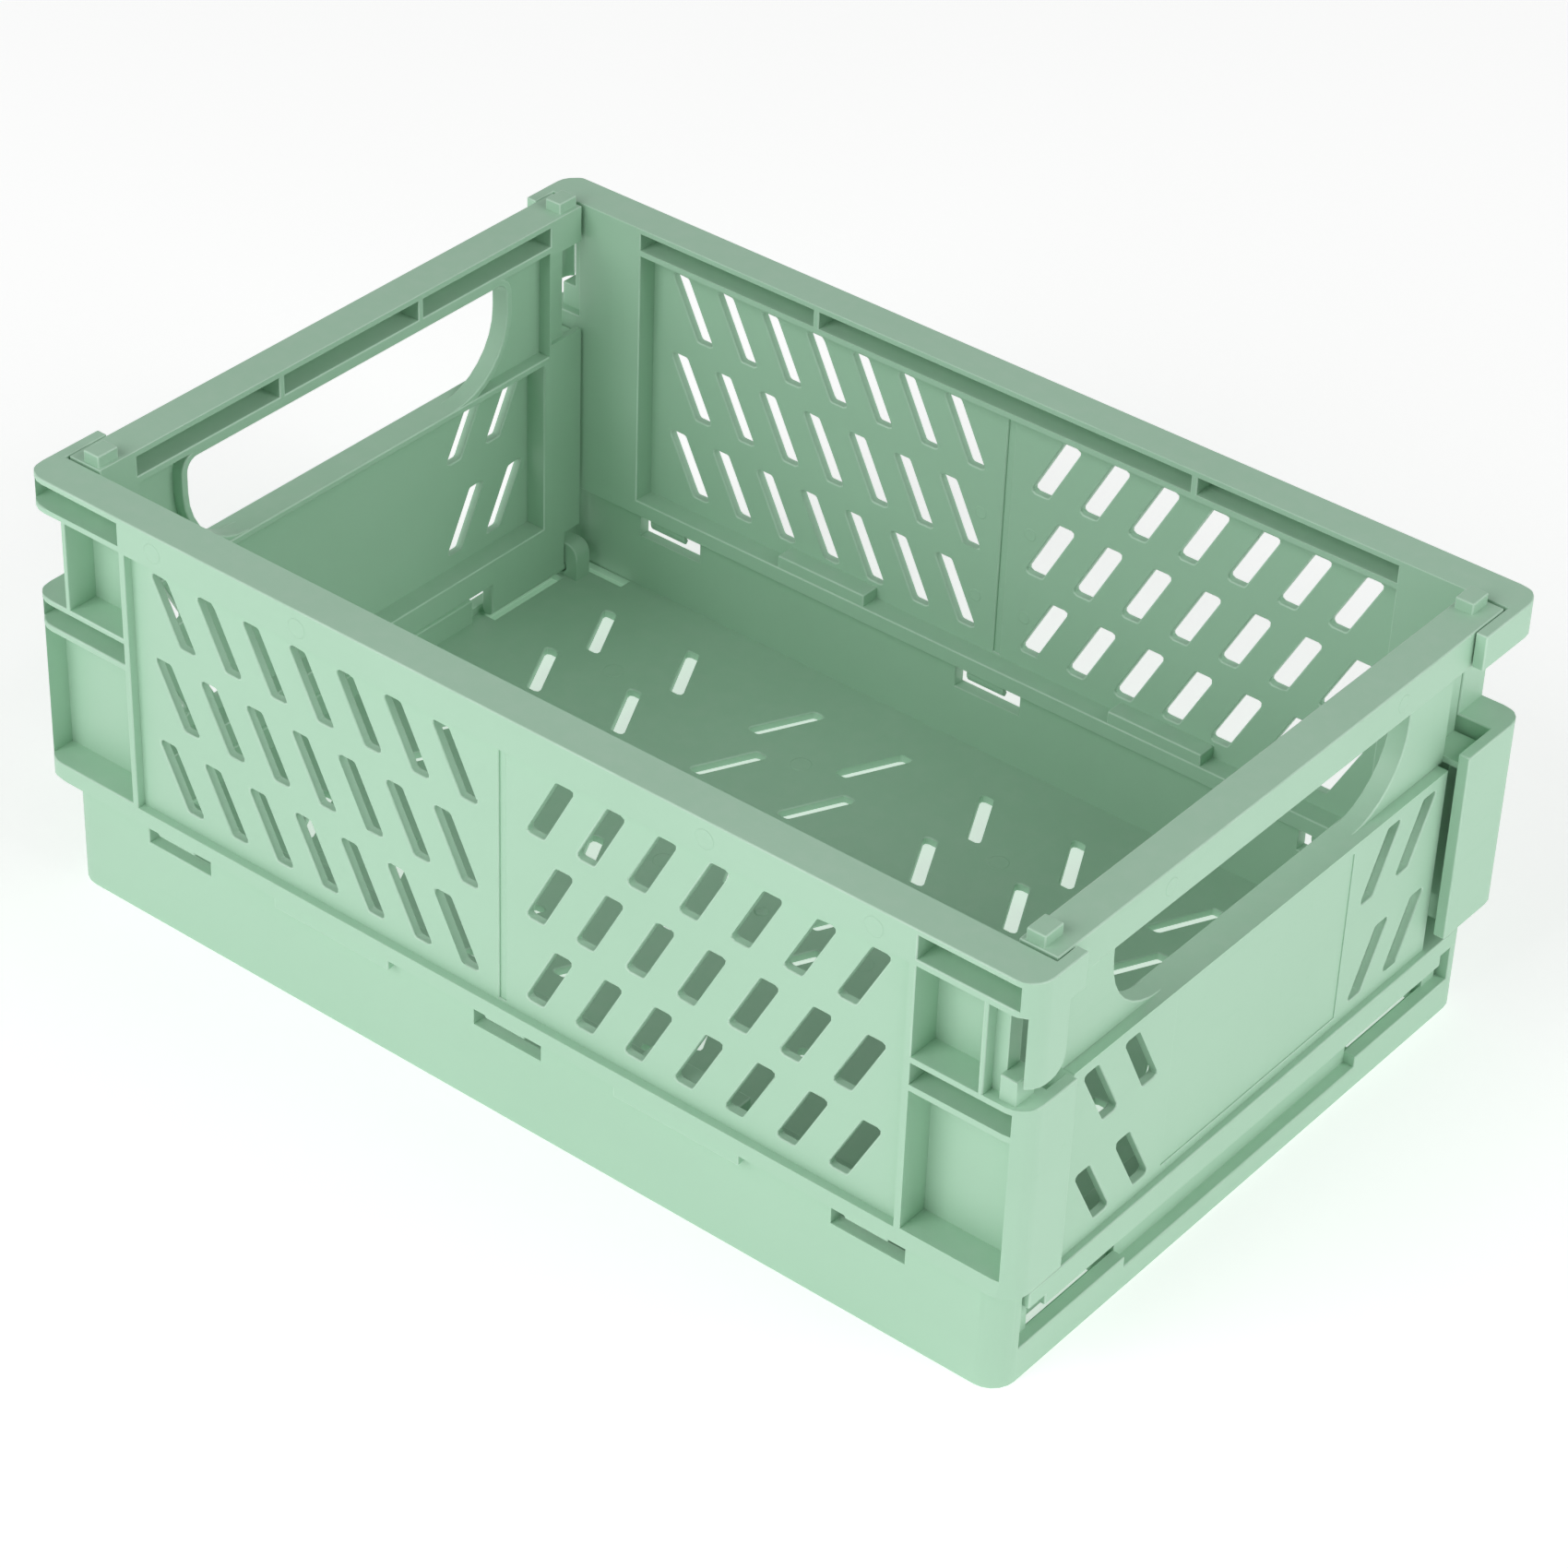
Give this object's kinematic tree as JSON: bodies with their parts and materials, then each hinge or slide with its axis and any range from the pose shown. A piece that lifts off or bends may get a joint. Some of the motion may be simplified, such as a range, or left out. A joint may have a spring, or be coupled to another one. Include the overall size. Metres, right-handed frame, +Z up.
{
  "type": "collapsible storage crate",
  "caption": "Open-top plastic crate whose slotted side and end panels lock upright and fold flat into a shallow slotted tray, with a hand hole in each end.",
  "frame": {"origin": "centre of the underside, on the surface that the crate stands on", "axes": "+X along the crate's length towards the right end, +Y across it towards the rear side, +Z up"},
  "size_m": [0.25, 0.165, 0.1025],
  "materials": {
    "tray": "satin moulded polypropylene, pale sage green",
    "side_panel": "satin moulded polypropylene, pale sage green",
    "end_panel": "satin moulded polypropylene, pale sage green"
  },
  "bodies": {
    "base": {"base_tray": "tray"},
    "front_panel": {"front_side": "side_panel"},
    "rear_panel": {"rear_side": "side_panel"},
    "left_panel": {"left_end": "end_panel"},
    "right_panel": {"right_end": "end_panel"}
  },
  "joints": [
    {"name": "right_end_fold", "type": "hinge", "parent": "base", "child": "right_panel", "pos_m": [0.115, 0, 0.0085], "axis": [0, -1, 0], "range_deg": [0, 90]},
    {"name": "left_end_fold", "type": "hinge", "parent": "base", "child": "left_panel", "pos_m": [-0.115, 0, 0.0085], "axis": [0, 1, 0], "range_deg": [0, 90]},
    {"name": "front_side_fold", "type": "hinge", "parent": "base", "child": "front_panel", "pos_m": [0, -0.0777, 0.025], "axis": [-1, 0, 0], "range_deg": [0, 0.5]},
    {"name": "rear_side_fold", "type": "hinge", "parent": "base", "child": "rear_panel", "pos_m": [0, 0.0777, 0.025], "axis": [1, 0, 0], "range_deg": [0, 0.5]}
  ]
}
